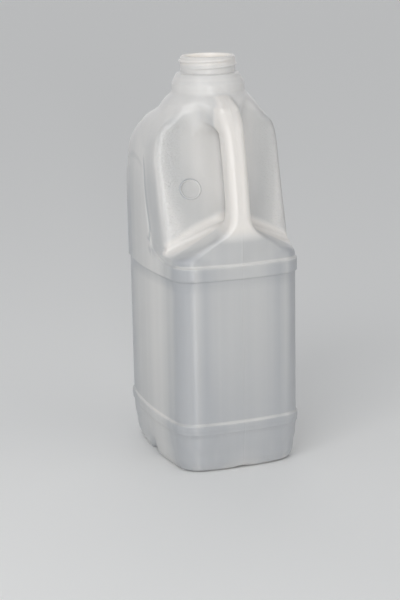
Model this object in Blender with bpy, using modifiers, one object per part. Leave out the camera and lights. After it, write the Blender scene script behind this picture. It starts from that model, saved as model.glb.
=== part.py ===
# Plastic milk bottle, two litres: one blow-moulded shell with a hollow handle.
# The bottle stands on z = 0, its axis is Z and the handle is at the front, towards -Y.
# Lengths are in millimetres; vertices are placed in metres. The guide lines' heights are
# counted from a line FOOT_DROP above the feet.
# One half of the skin (x >= 0) is laid out, from its front centre line to its back one,
# as horizontal sections. Each section is a path of straight or bowed runs and round corners.

import bpy
import bmesh
from math import atan2, cos, degrees, hypot, pi, sin, sqrt

MM = 0.001
WALL = 1.0
WELD = 0.00002

# Whole body
HALF_WIDTH = 47.8
HALF_DEPTH = 58.95
SIDE_BOW = 6.4
FRONT_BOW = 5.2
CORNER = (42.3, 54.9)
CORNER_REACH = 10.7
BAND_PROUD = 0.95

# Base
FOOT_DROP = 1.5
FOOT_INSET = ((-1.5, 9.4), (-1, 6.9), (0, 4.9), (1.2, 3.9), (2.5, 3.3), (6.5, 1.9), (11.5, 1.4),
              (17.5, 0.5), (26.5, 0))
PUSH_UP = 6.0
CHANNEL_TOP = 13.0
CHANNEL_HALF_WIDTH = 8.0
SIDE_CHANNEL = 4.0
SIDE_NOTCH = 2.2
FRONT_CHANNEL = 0.9

# Bands round the label panel: (height, share of their full relief)
LOWER_BAND = ((25.7, 0), (26.7, 0.72), (29.1, 0.86), (29.5, 1), (33.1, 1), (34, 0))
UPPER_BAND = ((132.4, 0), (133.6, 1), (141.9, 1), (142.9, 0))

# The upper band's top line climbs the sides into the pad's front edge: (depth, climb)
SWEEP = ((-42.8, 0), (-35.5, 0.4), (-27.8, 2), (-22.9, 3.4), (-17.8, 5.5), (-14.3, 7.6),
         (-11, 9.6), (-6, 10))
PAD_RELIEF = ((143, 0.95), (170, 0.8), (185, 0.5), (200, 0.4), (214, 0))

# Finger gap in the middle plane
GAP_BOTTOM = 170.3
GAP_TOP = 229.0
GAP_BOTTOM_ROUND = 6.0
GAP_TOP_ROUND = 7.5
FLOOR_SLOPE = 0.42
ROOF_SLOPE = 0.12
CREST_ROUND = 1.0

# Shoulder and neck
SHOULDER_END = 242.5
SHOULDER_RADIUS = 33.2
DOME = ((170, 0), (190, 0.015), (205, 0.08), (213, 0.12), (220, 0.22), (226, 0.36),
        (231, 0.51), (235, 0.69), (238.5, 0.87), (242, 1))
REAR_CORNER = (44.3, 54)
BORE_RADIUS = 16.4
BORE_START = 262.0
BARREL_RADIUS = 18.65
THREAD_START = 268.4
THREAD_PITCH = 4.25
THREAD_TURNS = 1.34
THREAD_LEAD = 0.2
THREAD_DEPTH = 1.2
THREAD_FLANKS = (1.05, 1.75)

# Guide lines: each is (height, value), joined by a smooth curve
FRONT_Y = ((142, 58.95), (160, 59.9), (172, 59.8), (192, 57.4), (208, 54.7), (225, 50.7),
           (234, 47.2), (242.5, 41.5))
RIDGE_X = ((142, 42.3), (146, 41.3), (148.5, 37.2), (151, 31.2), (157, 21.8), (165, 10.8),
           (172, 7.6), (180, 7.1), (225, 7.2), (236, 7.8), (242.5, 8.6))
RIDGE_Y = ((142, 54.9), (148.5, 54.6), (151, 55.2), (157, 57.4), (165, 59.4), (172, 59.7),
           (192, 57.3), (208, 54.6), (225, 50.6), (234, 46.8), (242.5, 38.5))
RIDGE_REACH = ((142, CORNER_REACH), (147, 9), (151, 5.5), (157, 3.6), (165, 4), (175, 4.6),
               (242.5, 4.6))
HEEL_X = ((147.5, 45.6), (149.3, 43.8), (151.3, 40.3), (156, 30.6), (160.5, 19), (165.3, 10.6),
          (170, 7.8), (180, 7.1), (225, 7.2), (233, 8.6), (242.5, 9.5))
HEEL_Y = ((142, 40), (148, 35.5), (156, 37), (161, 39.7), (166, 41.3), (171, 43.4), (180, 43.7),
          (192.7, 42), (208, 39.3), (225, 35.2), (233, 33), (242.5, 31.8))
HEEL_REACH = ((142, 2.5), (160, 2.5), (172, 4.4), (228, 4.4), (242.5, 2.5))
EDGE_X = ((142, 46.9), (148, 45.6), (152, 43.7), (178, 43.8), (206, 44.3), (217, 43.8),
          (226.6, 41.8), (233.4, 37.6), (239.6, 31.8), (242.5, 27.2))
EDGE_Y = ((142, 20), (148, 27), (151, 31.4), (153, 33), (156, 32.8), (164, 30.8), (178, 26.5),
          (192.6, 22.1), (206.7, 18.3), (214, 17.2), (221, 16.8), (227, 17.2), (233.4, 18.6),
          (239.6, 20.6), (242.5, 19.1))
CREASE_Y = ((142.6, 14.3), (147, 11.9), (156, 10.2), (164.5, 8.8), (177.6, 4.9), (191, 1.9),
            (200.8, -0.5), (210, -2.9), (226, -3), (236, 1), (242.5, 5.8))
WAIST_Y = ((142, 33), (150, 33.5), (160, 35.5), (170.3, 37.9), (229, 26), (236, 27.5),
           (242.5, 30.1))
NOSE_X = ((166, 10), (208, 10.5), (229, 17), (234, 19), (242.5, 21.5))
NOSE_SETBACK = ((170, 2.3), (192.6, 2.3), (222, 2.3), (229, 2.9), (234, 3.9), (239.6, 4.4),
                (242.5, 6.2))
ROOF_WAIST_X = ((229, 12.5), (236, 14.3), (242.5, 14))

# Collar, cone and neck: (height, radius)
NECK = ((242.5, 33.2), (242.8, 32.6), (243.4, 32.6), (245, 31.7), (247.7, 29.3), (249.1, 27.9),
        (250.4, 26.4), (251.6, 25.2), (252.8, 24.8), (257.4, 24.8), (258.6, 24.4), (264, 21.4),
        (264.4, 20.4), (264.7, 18.65), (274.7, 18.65), (275.6, 18.1), (276, 17.4))
CREST = ((242.5, 8.3), (245, 6.8), (247.5, 5.5), (249.5, 4), (251, 2.1), (252.4, 0))
CREST_FLAT = ((242.5, 4.5), (252.4, 1.5))
CREST_FOOT = ((242.5, 11), (252.4, 6.5))
NECK_EVENNESS = 0.5

# Hollow above each grip panel, under the collar: (angle from the front, top of the hollow)
HOLLOW_TOP = ((17.5, 245.9), (21, 247.7), (28.7, 247.6), (37.7, 246.5), (44.6, 244.8), (50, 243),
              (55, 241.2))
HOLLOW_LEAN = 0.3

# How many faces each run and corner of a section gets, from the front centre to the back
RUN_FACES = (2, 1, 1, 2, 2, 1, 1, 3, 2)
CORNER_FACES = (2, 2, 0, 1, 2, 0, 0, 3)

# Heights of the sections
LOWER_ROWS = (-FOOT_DROP, -1, 0, 1.8, 5.5, 13, 25.7, 26.7, 29.5, 33.1, 34, 132.4, 133.6, 141.9, 142.9,
              145.5, 147.8, 149.7, 151.6, 155, 160, 165, 168.5, 169.9, 170.3)
GAP_ROWS = (170.3, 170.7, 172.2, 175.5, 182, 196, 209, 219, 225, 227.7, 228.7, 229)
UPPER_ROWS = (229, 229.5, 231.5, 234.5, 238, 241, 242.5, 243.9, 246.5, 249.4, 252.4, 257.6, 261,
              264, 264.7)
THREAD_ROWS = 8
LIP_ROWS = (274.7, 275.6, 276)
BASE_RINGS = (0.9, 0.7, 0.4, 0)


def ease(value, low, high):
    """Rise smoothly from 0 at low to 1 at high."""
    step = min(max((value - low) / (high - low), 0.0), 1.0)
    return step * step * (3.0 - 2.0 * step)


def mix(first, second, share):
    return first + (second - first) * share


def follow(guide, height):
    """Read a guide line at a height, on a smooth curve that never overshoots its points."""
    if height <= guide[0][0]:
        return guide[0][1]
    if height >= guide[-1][0]:
        return guide[-1][1]
    slopes = [(b[1] - a[1]) / (b[0] - a[0]) for a, b in zip(guide, guide[1:])]
    place = max(i for i in range(len(slopes)) if guide[i][0] <= height)

    def tangent(i):
        if i == 0:
            return slopes[0]
        if i == len(slopes):
            return slopes[-1]
        if slopes[i - 1] * slopes[i] <= 0:
            return 0.0
        return 2 * slopes[i - 1] * slopes[i] / (slopes[i - 1] + slopes[i])

    low, high = guide[place], guide[place + 1]
    span = high[0] - low[0]
    t = (height - low[0]) / span
    return ((1 + 2 * t) * (1 - t) ** 2 * low[1] + t * (1 - t) ** 2 * span * tangent(place)
            + t * t * (3 - 2 * t) * high[1] + t * t * (t - 1) * span * tangent(place + 1))


def straight(guide, height):
    """Read a guide line at a height, with straight lines between its points."""
    for low, high in zip(guide, guide[1:]):
        if height <= high[0]:
            share = max(height - low[0], 0.0) / (high[0] - low[0])
            return mix(low[1], high[1], share)
    return guide[-1][1]


def line(start, end, bow=0.0):
    """A run from start to end that bulges outwards by bow in its middle."""
    across = (end[0] - start[0], end[1] - start[1])
    length = hypot(*across) or 1.0
    outward = (-across[1] / length, across[0] / length)
    if outward[0] * (start[0] + end[0]) + outward[1] * (start[1] + end[1]) < 0:
        outward = (-outward[0], -outward[1])

    def point(t):
        lift = 4 * bow * t * (1 - t)
        return (mix(start[0], end[0], t) + outward[0] * lift,
                mix(start[1], end[1], t) + outward[1] * lift)

    point.length = length
    return point


def pinch(middle, end, open_share):
    """Half of the narrow waist between handle and chamber, from its middle to one end.
    It is straight far from the gap, and next to the gap it is a saddle's curve."""
    def point(t):
        flat = mix(middle[0], end[0], t)
        curved = sqrt(max(middle[0] ** 2 + (end[0] ** 2 - middle[0] ** 2) * t * t, 0.0))
        return (mix(flat, curved, open_share), mix(middle[1], end[1], t))

    point.length = hypot(end[0] - middle[0], end[1] - middle[1])
    return point


def lip_of_gap(middle_y, tip_y, end):
    """The side of a section that faces the gap, from the middle plane out to its corner."""
    tip = (tip_y - middle_y) ** 2
    far = (end[1] - middle_y) ** 2
    side = 1 if tip_y > middle_y else -1

    def point(t):
        return (end[0] * t, middle_y + side * sqrt(max(tip + (far - tip) * t * t, 0.0)))

    point.length = hypot(end[0], end[1] - tip_y)
    return point


def backwards(run):
    def point(t):
        return run(1 - t)

    point.length = run.length
    return point


def round_corner(start, corner, end, faces):
    """Points inside a round corner that touches its two runs at start and end."""
    to_start = atan2(start[1] - corner[1], start[0] - corner[0])
    to_end = atan2(end[1] - corner[1], end[0] - corner[0])
    weight = sin(abs((to_start - to_end + pi) % (2 * pi) - pi) / 2)
    points = []
    for i in range(1, faces):
        t = i / faces
        parts = ((1 - t) ** 2, 2 * weight * t * (1 - t), t * t)
        points.append(tuple(sum(part * p[axis] for part, p in zip(parts, (start, corner, end)))
                            / sum(parts) for axis in (0, 1)))
    return points


def trace(runs, corners, reaches, run_faces, corner_faces):
    """Points along runs that meet in round corners. A corner's reach is how far along its
    runs the rounding goes."""
    cuts = []
    for i, run in enumerate(runs):
        before = reaches[i - 1] if i else 0.0
        after = reaches[i] if i < len(reaches) else 0.0
        share = 1 / max(run.length, 1.04 * (before + after))
        cuts.append((before * share, after * share))
    points = []
    for i, run in enumerate(runs):
        start, stop = cuts[i][0], 1 - cuts[i][1]
        steps = run_faces[i]
        own = [run(mix(start, stop, k / steps)) for k in range(steps + 1)]
        if i and not corner_faces[i - 1]:
            own = own[1:]
        points += own
        if i < len(corners) and corner_faces[i]:
            ahead = runs[i + 1](cuts[i + 1][0])
            points += round_corner(own[-1], corners[i], ahead, corner_faces[i])
    return points


def side_x(y, inset=0.0):
    """The bowed side of the plain body at a depth y."""
    return HALF_WIDTH - inset - SIDE_BOW * (y / HALF_DEPTH) ** 2


def saddle_x(climb, slope):
    """Half-width of a crest with a round top, a climb below it."""
    return sqrt(max((climb + CREST_ROUND) ** 2 - CREST_ROUND ** 2, 0.0)) / slope


def handle_gap(height):
    """The handle's rear line, the chamber's front line and the middle between them, in the
    middle plane, with the gap's round ends."""
    rear = -follow(HEEL_Y, height)
    panel = panel_y(height, follow(NOSE_X, height))
    middle = (rear + panel) / 2
    low = min((height - GAP_BOTTOM) / GAP_BOTTOM_ROUND, 1.0)
    high = min((GAP_TOP - height) / GAP_TOP_ROUND, 1.0)
    nearest = max(min(low, high), 0.0)
    opening = sqrt(1 - (1 - nearest) ** 2)
    return mix(middle, rear, opening), mix(middle, panel, opening), middle


def panel_y(height, x):
    """The grip panel behind the handle, at a distance x from the middle plane."""
    share = max(follow(EDGE_X, height) - x, 0.0) / (follow(EDGE_X, height) - NOSE_X[0][1])
    return -follow(EDGE_Y, height) - follow(NOSE_SETBACK, height) * share


def section(height, inset=0.0):
    """The half section at a height: the handle's points and the chamber's points, with the
    finger gap between them where there is one."""
    proud = -inset
    rear = proud if height < 141 else BAND_PROUD
    dome = follow(DOME, height)
    apart = GAP_BOTTOM < height < GAP_TOP

    front = (0.0, -follow(FRONT_Y, height) - proud)
    ridge = (follow(RIDGE_X, height) + proud, -follow(RIDGE_Y, height) - proud)
    heel_y = -follow(HEEL_Y, height)
    heel = (follow(HEEL_X, height) if height > 147.5 else side_x(heel_y) + proud, heel_y)
    edge = (follow(EDGE_X, height), -follow(EDGE_Y, height))
    crease_y = -follow(CREASE_Y, height)
    waist_y = -follow(WAIST_Y, height)

    if height < GAP_BOTTOM + 0.001:
        crest = GAP_BOTTOM - height
        inner_x = max(saddle_x(crest + 0.8, FLOOR_SLOPE), NOSE_X[0][1])
        inner_y = panel_y(height, inner_x) - mix(6.0, 0.05, ease(height, 142, 153.5))
        side_share = ease(height, 146, 153)
        inner_limit = mix(side_x(inner_y) + proud, edge[0] - 0.2, side_share)
        waist_limit = mix(side_x(waist_y) + proud, edge[0] - 0.3, side_share)
        inner = (min(inner_x, inner_limit), inner_y)
        waist = (min(saddle_x(crest, FLOOR_SLOPE), waist_limit), waist_y)
        open_share = ease(height, GAP_BOTTOM - 12, GAP_BOTTOM - 2)
    elif apart:
        nose_x = follow(NOSE_X, height)
        inner = (nose_x, panel_y(height, nose_x))
    else:
        open_x = saddle_x(height - GAP_TOP, ROOF_SLOPE)
        waist = (min(open_x, follow(ROOF_WAIST_X, height)), waist_y)
        inner = (follow(NOSE_X, height), -follow(EDGE_Y, height) - follow(NOSE_SETBACK, height))
        open_share = 1 - ease(height, GAP_TOP + 0.5, GAP_TOP + 2)

    side = mix(HALF_WIDTH + rear, SHOULDER_RADIUS, dome)
    corner = tuple(mix(mix(low + rear, high, ease(height, 150, 195)), SHOULDER_RADIUS, dome)
                   for low, high in zip(CORNER, REAR_CORNER))
    back = (0.0, mix(HALF_DEPTH + rear, SHOULDER_RADIUS, dome))
    if height < 142:
        edge = (side_x(edge[1]), edge[1])
    edge = (edge[0] + proud, edge[1])
    bow = mix(SIDE_BOW, side - corner[0], ease(height, 142, 170))
    relief = min(rear - proud, follow(PAD_RELIEF, height))
    pad_y = crease_y + 1.3
    pad = (side - bow * (pad_y / HALF_DEPTH) ** 2, pad_y)
    crease = (side - relief - bow * (crease_y / HALF_DEPTH) ** 2, crease_y)
    corner_reach = mix(CORNER_REACH, SHOULDER_RADIUS, dome)

    front_bow = FRONT_BOW / 4 if height < 142 else 0.3
    side_run = line(pad, corner, SIDE_BOW / 4 * (1 - dome) * (corner[1] - pad[1]) ** 2
                    / HALF_DEPTH ** 2)
    slant = SIDE_BOW / 4 * ((crease[1] - edge[1]) / HALF_DEPTH) ** 2
    front_runs = [line(front, ridge, front_bow), line(ridge, heel, 0.0)]
    rear_runs = [line(inner, edge, 0.0), line(edge, crease, slant), line(crease, pad, 0.0),
                 side_run, line(corner, back, FRONT_BOW / 4 * (1 - dome))]
    if apart:
        handle_y, nose_y, middle_y = handle_gap(height)
        front_runs.append(backwards(lip_of_gap(middle_y, handle_y, heel)))
        rear_runs.insert(0, lip_of_gap(middle_y, nose_y, inner))
    else:
        front_runs.append(backwards(pinch(waist, heel, open_share)))
        rear_runs.insert(0, pinch(waist, inner, open_share))

    ridge_reach = follow(RIDGE_REACH, height)
    heel_reach = follow(HEEL_REACH, height)
    handle = trace(front_runs, [ridge, heel], [ridge_reach, heel_reach],
                   RUN_FACES[:3], CORNER_FACES[:2])
    chamber = trace(rear_runs, [inner, edge, crease, pad, corner],
                    [3.0, 2.5, 0.5, 0.5, corner_reach], RUN_FACES[3:], CORNER_FACES[3:])
    return handle, chamber


def ring(height):
    """The half section of the round collar and neck, with the crest that the handle ends in.
    Its points sit where the section below has them and spread out evenly by the neck."""
    handle, chamber = section(SHOULDER_END)
    below = handle + chamber[1:]
    radius = straight(NECK, height)
    lift = straight(CREST, height)
    flat, foot = straight(CREST_FLAT, height), straight(CREST_FOOT, height)
    even = NECK_EVENNESS * ease(height, 243, 263)
    points = []
    for i, (x, y) in enumerate(below):
        angle = mix(atan2(x, -y), pi * i / (len(below) - 1), even)
        reach = radius + lift * (1 - ease(radius * angle, flat, foot))
        points.append((reach * sin(angle), -reach * cos(angle)))
    return points


def inset_at(height):
    """How far the plain body's section lies inside the label panel's, at a height."""
    if height < LOWER_BAND[0][0]:
        return follow(FOOT_INSET, height)
    band = LOWER_BAND if height < UPPER_BAND[0][0] else UPPER_BAND
    return -BAND_PROUD * straight(band, height)


def channel(x, y, height):
    """Lift of the underside along the two shallow channels that part the four feet."""
    near = 1 - ease(height, -FOOT_DROP, CHANNEL_TOP)
    across = SIDE_CHANNEL * (1 - ease(abs(y), 1, CHANNEL_HALF_WIDTH))
    along = FRONT_CHANNEL * (1 - ease(abs(x), 1, CHANNEL_HALF_WIDTH))
    return near * max(across, along)


def notch(x, y, height):
    """How far the two side channels bite into the foot's wall."""
    share = (1 - ease(height, 0.35 * CHANNEL_TOP, CHANNEL_TOP)) * ease(abs(x), 20, 38)
    return SIDE_NOTCH * share * (1 - ease(abs(y), 1, 0.8 * CHANNEL_HALF_WIDTH))


def climb(y, height):
    """Lift of the rows that follow the upper band's top line up the sides."""
    share = ease(height, 135, 142) * (1 - ease(height, 142.9, 165))
    return share * follow(SWEEP, y) if share else 0.0


def body_row(height):
    """Both parts of the skin's row at a height, as vertices."""
    if height > SHOULDER_END:
        return [(x, y, height) for x, y in ring(height)], None
    handle, chamber = section(height, inset_at(height))
    rows = [[(x - notch(x, y, height), y, height + channel(x, y, height) + climb(y, height))
             for x, y in part] for part in (handle, chamber)]
    return rows[0], rows[1]


def base_row(scale):
    """A row of the underside: the foot's outline drawn in towards the middle and pushed up."""
    handle, chamber = body_row(-FOOT_DROP)
    rise = PUSH_UP * ease(1 - scale, 0.08, 0.6)
    return [(x * scale, y * scale, mix(-FOOT_DROP, z, scale) + rise)
            for x, y, z in handle + chamber[1:]]


def patch(mesh, rows):
    """A grid of faces on rows of points."""
    columns = len(rows[0])
    grid = bmesh.ops.create_grid(mesh, x_segments=columns - 1, y_segments=len(rows) - 1, size=1)
    for i, vertex in enumerate(grid["verts"]):
        x, y, z = rows[i // columns][i % columns]
        vertex.co = (x * MM, y * MM, (z + FOOT_DROP) * MM)


def whole(parts):
    handle, chamber = parts
    return handle + chamber[1:] if chamber else handle


def half_skin():
    """The outer skin of one half, in four patches that share their border rows."""
    mesh = bmesh.new()
    thread_rows = [mix(264.7, 274.7, i / THREAD_ROWS) for i in range(1, THREAD_ROWS)]
    patch(mesh, [base_row(scale) for scale in reversed(BASE_RINGS)]
          + [whole(body_row(height)) for height in LOWER_ROWS])
    gap = [body_row(height) for height in GAP_ROWS]
    patch(mesh, [handle for handle, _ in gap])
    patch(mesh, [chamber for _, chamber in gap])
    patch(mesh, [whole(body_row(height))
                 for height in UPPER_ROWS + tuple(thread_rows) + LIP_ROWS])
    bmesh.ops.remove_doubles(mesh, verts=mesh.verts, dist=WELD)
    sink_hollows(mesh)
    return mesh


def sink_hollows(mesh):
    """Carry each grip panel on upwards, to the curved line in which it ends under the collar."""
    for vertex in mesh.verts:
        x, y, z = (length / MM for length in vertex.co)
        z -= FOOT_DROP
        angle = degrees(atan2(abs(x), -y))
        top = follow(HOLLOW_TOP, angle)
        if 14 < angle < 60 and 230 < z < top:
            radius = hypot(x, y)
            sunk = min(radius, straight(NECK, top) - HOLLOW_LEAN * (top - z))
            share = ease(z, 231, 238) * ease(angle, 15, 21) * (1 - ease(angle, 48, 60))
            vertex.co.x *= mix(1, sunk / radius, share)
            vertex.co.y *= mix(1, sunk / radius, share)


def thread_lift(x, y, z):
    """Height of the screw thread above the neck's barrel at a point of the barrel."""
    turn = (atan2(x, -y) / (2 * pi)) % 1.0
    best = 0.0
    for whole_turns in (-1, 0, 1):
        turns = turn + whole_turns + THREAD_LEAD
        if 0 <= turns <= THREAD_TURNS:
            above = z - THREAD_START - THREAD_PITCH * turns
            ends = ease(turns, 0, 0.1) * (1 - ease(turns, THREAD_TURNS - 0.12, THREAD_TURNS))
            best = max(best, ends * (1 - ease(abs(above), 0.2, THREAD_FLANKS[above > 0])))
    return best * THREAD_DEPTH


def finish_neck(mesh, outer_count):
    """Cut the bore straight on the inner skin and raise the thread on the outer one."""
    for vertex in mesh.vertices:
        x, y, z = (length / MM for length in vertex.co)
        z -= FOOT_DROP
        radius = hypot(x, y)
        if z < BORE_START or radius < 1:
            continue
        if vertex.index < outer_count:
            if BARREL_RADIUS - radius > 0.01 or z < 265:
                continue
            wanted = radius + thread_lift(x, y, z)
        else:
            wanted = mix(radius, BORE_RADIUS, ease(z, BORE_START, 266))
        vertex.co.x *= wanted / radius
        vertex.co.y *= wanted / radius


def milky_plastic():
    material = bpy.data.materials.new("milky_plastic")
    material.use_nodes = True
    surface = material.node_tree.nodes["Principled BSDF"]
    surface.inputs["Base Color"].default_value = (0.62, 0.63, 0.62, 1)
    surface.inputs["Roughness"].default_value = 0.38
    surface.inputs["Metallic"].default_value = 0.0
    return material


def make_bottle():
    skin = half_skin()
    outline = bpy.data.meshes.new("bottle_half")
    skin.to_mesh(outline)
    skin.free()
    shaped = bpy.data.objects.new("bottle_half", outline)
    bpy.context.scene.collection.objects.link(shaped)

    other_half = shaped.modifiers.new("other half", "MIRROR")
    other_half.merge_threshold = WELD
    bpy.context.view_layer.update()
    outer_count = len(shaped.evaluated_get(bpy.context.evaluated_depsgraph_get()).data.vertices)
    wall = shaped.modifiers.new("wall", "SOLIDIFY")
    wall.thickness = WALL * MM
    wall.offset = -1
    wall.use_even_offset = False
    bpy.context.view_layer.update()
    done = bpy.data.meshes.new_from_object(
        shaped.evaluated_get(bpy.context.evaluated_depsgraph_get()))
    bpy.data.objects.remove(shaped)
    bpy.data.meshes.remove(outline)

    finish_neck(done, outer_count)
    done.name = "bottle"
    done.materials.append(milky_plastic())
    group = bpy.data.collections.new("milk_bottle")
    bpy.context.scene.collection.children.link(group)
    group.objects.link(bpy.data.objects.new("bottle", done))


for leftover in list(bpy.data.objects):
    bpy.data.objects.remove(leftover)
make_bottle()
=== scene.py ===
# Looks of the plastic milk bottle: one blown shell of milky plastic with a hollow handle.
# The bottle stands on the floor, its axis is Z and the handle is at the front, towards -Y.
# Lengths are in millimetres and are placed in metres.

from math import atan2, cos, degrees, hypot, pi, radians, sin, sqrt

import bmesh
import bpy
from mathutils import Matrix, Vector


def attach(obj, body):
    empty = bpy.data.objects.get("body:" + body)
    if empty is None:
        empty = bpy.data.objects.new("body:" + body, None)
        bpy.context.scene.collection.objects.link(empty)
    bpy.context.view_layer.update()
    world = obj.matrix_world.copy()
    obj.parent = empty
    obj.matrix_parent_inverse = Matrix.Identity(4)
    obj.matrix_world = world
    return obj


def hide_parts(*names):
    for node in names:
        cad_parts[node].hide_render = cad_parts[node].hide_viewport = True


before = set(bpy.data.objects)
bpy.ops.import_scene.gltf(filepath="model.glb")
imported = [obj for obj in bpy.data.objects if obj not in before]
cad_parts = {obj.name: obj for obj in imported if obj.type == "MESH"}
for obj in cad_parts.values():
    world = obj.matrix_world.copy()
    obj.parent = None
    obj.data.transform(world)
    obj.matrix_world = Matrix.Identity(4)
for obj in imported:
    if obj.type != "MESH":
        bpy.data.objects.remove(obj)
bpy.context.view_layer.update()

MM = 0.001
WELD = 0.00002

# Whole body. The plain body's sections end within the top edge of its upper band
WALL = 1.0
HALF_WIDTH = 47.8
HALF_DEPTH = 58.95
SIDE_BOW = 6.4
FRONT_BOW = 5.2
CORNER = (42.3, 54.9)
CORNER_REACH = 10.7
BAND_PROUD = 0.95
BODY_TOP = 142.0
SEAM_COLUMNS = (0.35, 0.85)
SEAM_HEIGHT = 0.16

# Base
FOOT_DROP = 1.5
FOOT_INSET = ((-1.5, 8.2), (-1, 5.7), (0, 4), (1.2, 3.2), (2.5, 2.8), (6.5, 1.8), (11.5, 1.4),
              (17.5, 0.5), (26.5, 0))
PUSH_UP = 6.0
PUSH_UP_SPAN = (0.08, 0.6)
CHANNEL_TOP = 13.0
CHANNEL_HALF_WIDTH = 8.0
SIDE_CHANNEL = 4.0
SIDE_NOTCH = 2.2
NOTCH_ENDS = (0.35 * CHANNEL_TOP, CHANNEL_TOP)
NOTCH_REACH = (20, 38)
FRONT_CHANNEL = 0.9

# Bands round the label panel: (height, share of their full relief)
LOWER_BAND = ((25.7, 0), (26.7, 0.72), (29.1, 0.86), (29.5, 1), (33.1, 1), (34, 0))
UPPER_BAND = ((132.4, 0), (133.6, 1), (141.9, 1), (142.9, 0))

# The upper band's top line climbs the sides into the pad's front edge: (depth, climb)
SWEEP = ((-42.8, 0), (-35.5, 0.4), (-27.8, 2), (-22.9, 3.4), (-17.8, 5.5), (-14.3, 7.6),
         (-11, 9.6), (-6, 10))
CLIMB_STARTS = (135, BODY_TOP)
CLIMB_ENDS = (142.9, 165)
PAD_RELIEF = ((143, 0.95), (170, 0.8), (185, 0.5), (200, 0.4), (214, 0))

# Finger gap in the middle plane
GAP_BOTTOM = 170.3
GAP_TOP = 229.0
GAP_BOTTOM_ROUND = 6.0
GAP_TOP_ROUND = 7.5
FLOOR_SLOPE = 0.42
ROOF_SLOPE = 0.12
CREST_ROUND = 1.0
PANEL_STEP = (6.0, 0.05)
PANEL_STEP_SPAN = (BODY_TOP, 153.5)
SIDE_TO_PANEL = (146, 153)
PANEL_CLEARANCE = 0.8
INNER_CLEARANCE = 0.2
WAIST_CLEARANCE = 0.3
FLOOR_OPENING = (12, 2)
ROOF_OPENING = (0.5, 2)

# Shoulder and neck
SHOULDER_END = 242.5
SHOULDER_RADIUS = 33.2
DOME = ((170, 0), (190, 0.015), (205, 0.08), (213, 0.12), (220, 0.22), (226, 0.36),
        (231, 0.51), (235, 0.65), (238.5, 0.83), (242, 1))
REAR_CORNER = (44.3, 54)
REAR_CORNER_SPAN = (150, 195)
BOW_CHANGE = (BODY_TOP, 170)
UPPER_FRONT_BOW = 0.3
BORE_RADIUS = 16.4
BORE_SPAN = (262.0, 266)
BARREL_START = 265.0
BARREL_RADIUS = 18.65
NECK_FACE = 0.55
THREAD_START = 268.4
THREAD_PITCH = 4.25
THREAD_TURNS = 1.34
THREAD_LEAD = 0.2
THREAD_DEPTH = 1.2
THREAD_FLAT = 0.2
THREAD_FLANKS = (1.05, 1.75)
THREAD_RUN_IN = 0.1
THREAD_RUN_OUT = 0.12

# Guide lines: each is (height, value), joined by a smooth curve
FRONT_Y = ((142, 58.95), (160, 59.9), (172, 59.8), (192, 57.4), (208, 54.7), (225, 50.7),
           (234, 47.2), (242.5, 41.5))
RIDGE_X = ((142, 42.3), (146, 41.3), (148.5, 37.2), (151, 31.2), (157, 21.8), (165, 10.8),
           (172, 7.6), (180, 7.1), (225, 7.2), (236, 7.8), (242.5, 8.6))
RIDGE_Y = ((142, 54.9), (148.5, 54.6), (151, 55.2), (157, 57.4), (165, 59.4), (172, 59.7),
           (192, 57.3), (208, 54.6), (225, 50.6), (234, 46.8), (242.5, 38.5))
RIDGE_REACH = ((142, CORNER_REACH), (147, 9), (151, 5.5), (157, 3.6), (165, 4), (175, 4.6),
               (242.5, 4.6))
HEEL_X = ((147.5, 45.6), (149.3, 43.8), (151.3, 40.3), (156, 30.6), (160.5, 19), (165.3, 10.6),
          (170, 7.8), (180, 7.1), (225, 7.2), (233, 8.6), (242.5, 9.5))
HEEL_Y = ((142, 40), (148, 35.5), (156, 37), (161, 39.7), (166, 41.3), (171, 43.4), (180, 43.7),
          (192.7, 42), (208, 39.3), (225, 35.2), (233, 33), (242.5, 31.8))
HEEL_REACH = ((142, 2.5), (160, 2.5), (172, 4.4), (228, 4.4), (242.5, 2.5))
PANEL_REACH = 3.0
EDGE_REACH = 2.5
CREASE_REACH = 0.5
CREASE_WIDTH = 1.3
EDGE_X = ((142, 46.9), (148, 45.6), (152, 43.7), (178, 43.8), (206, 44.3), (217, 43.8),
          (226.6, 41.8), (233.4, 37.6), (239.6, 31.8), (242.5, 27.2))
EDGE_Y = ((142, 20), (148, 27), (151, 31.4), (153, 33), (156, 32.8), (164, 30.8), (178, 26.5),
          (192.6, 22.1), (206.7, 18.3), (214, 17.2), (221, 16.8), (227, 17.2), (233.4, 18.6),
          (239.6, 20.6), (242.5, 19.1))
CREASE_Y = ((142.6, 14.3), (147, 11.9), (156, 10.2), (164.5, 8.8), (177.6, 4.9), (191, 1.9),
            (200.8, -0.5), (210, -2.9), (226, -3), (236, 1), (242.5, 5.8))
WAIST_Y = ((142, 33), (150, 33.5), (160, 35.5), (170.3, 37.9), (229, 26), (236, 27.5),
           (242.5, 30.1))
NOSE_X = ((166, 10), (208, 10.5), (229, 17), (234, 19), (242.5, 21.5))
NOSE_SETBACK = ((170, 2.3), (192.6, 2.3), (222, 2.3), (229, 2.9), (234, 3.9), (239.6, 4.4),
                (242.5, 6.2))
ROOF_WAIST_X = ((229, 12.5), (236, 14.3), (242.5, 14))

# Collar, cone and neck: (height, radius)
COLLAR = ((242.5, 33.2), (242.8, 32.6), (243.4, 32.6), (245, 31.7), (247.7, 29.3),
          (249.1, 27.9), (250.4, 26.4), (251.6, 25.2), (252.8, 24.8))
NECK = ((252.8, 24.8), (257.4, 24.8), (258.6, 24.4), (264, 21.4), (264.4, 20.4), (264.7, 18.65),
        (274.7, 18.65), (275.6, 18.1), (276, 17.4))
CREST = ((242.5, 8.3), (245, 6.8), (247.5, 5.5), (249.5, 4), (251, 2.1), (252.4, 0))
CREST_FLAT = ((242.5, 4.5), (252.4, 1.5))
CREST_FOOT = ((242.5, 11), (252.4, 6.5))

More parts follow.
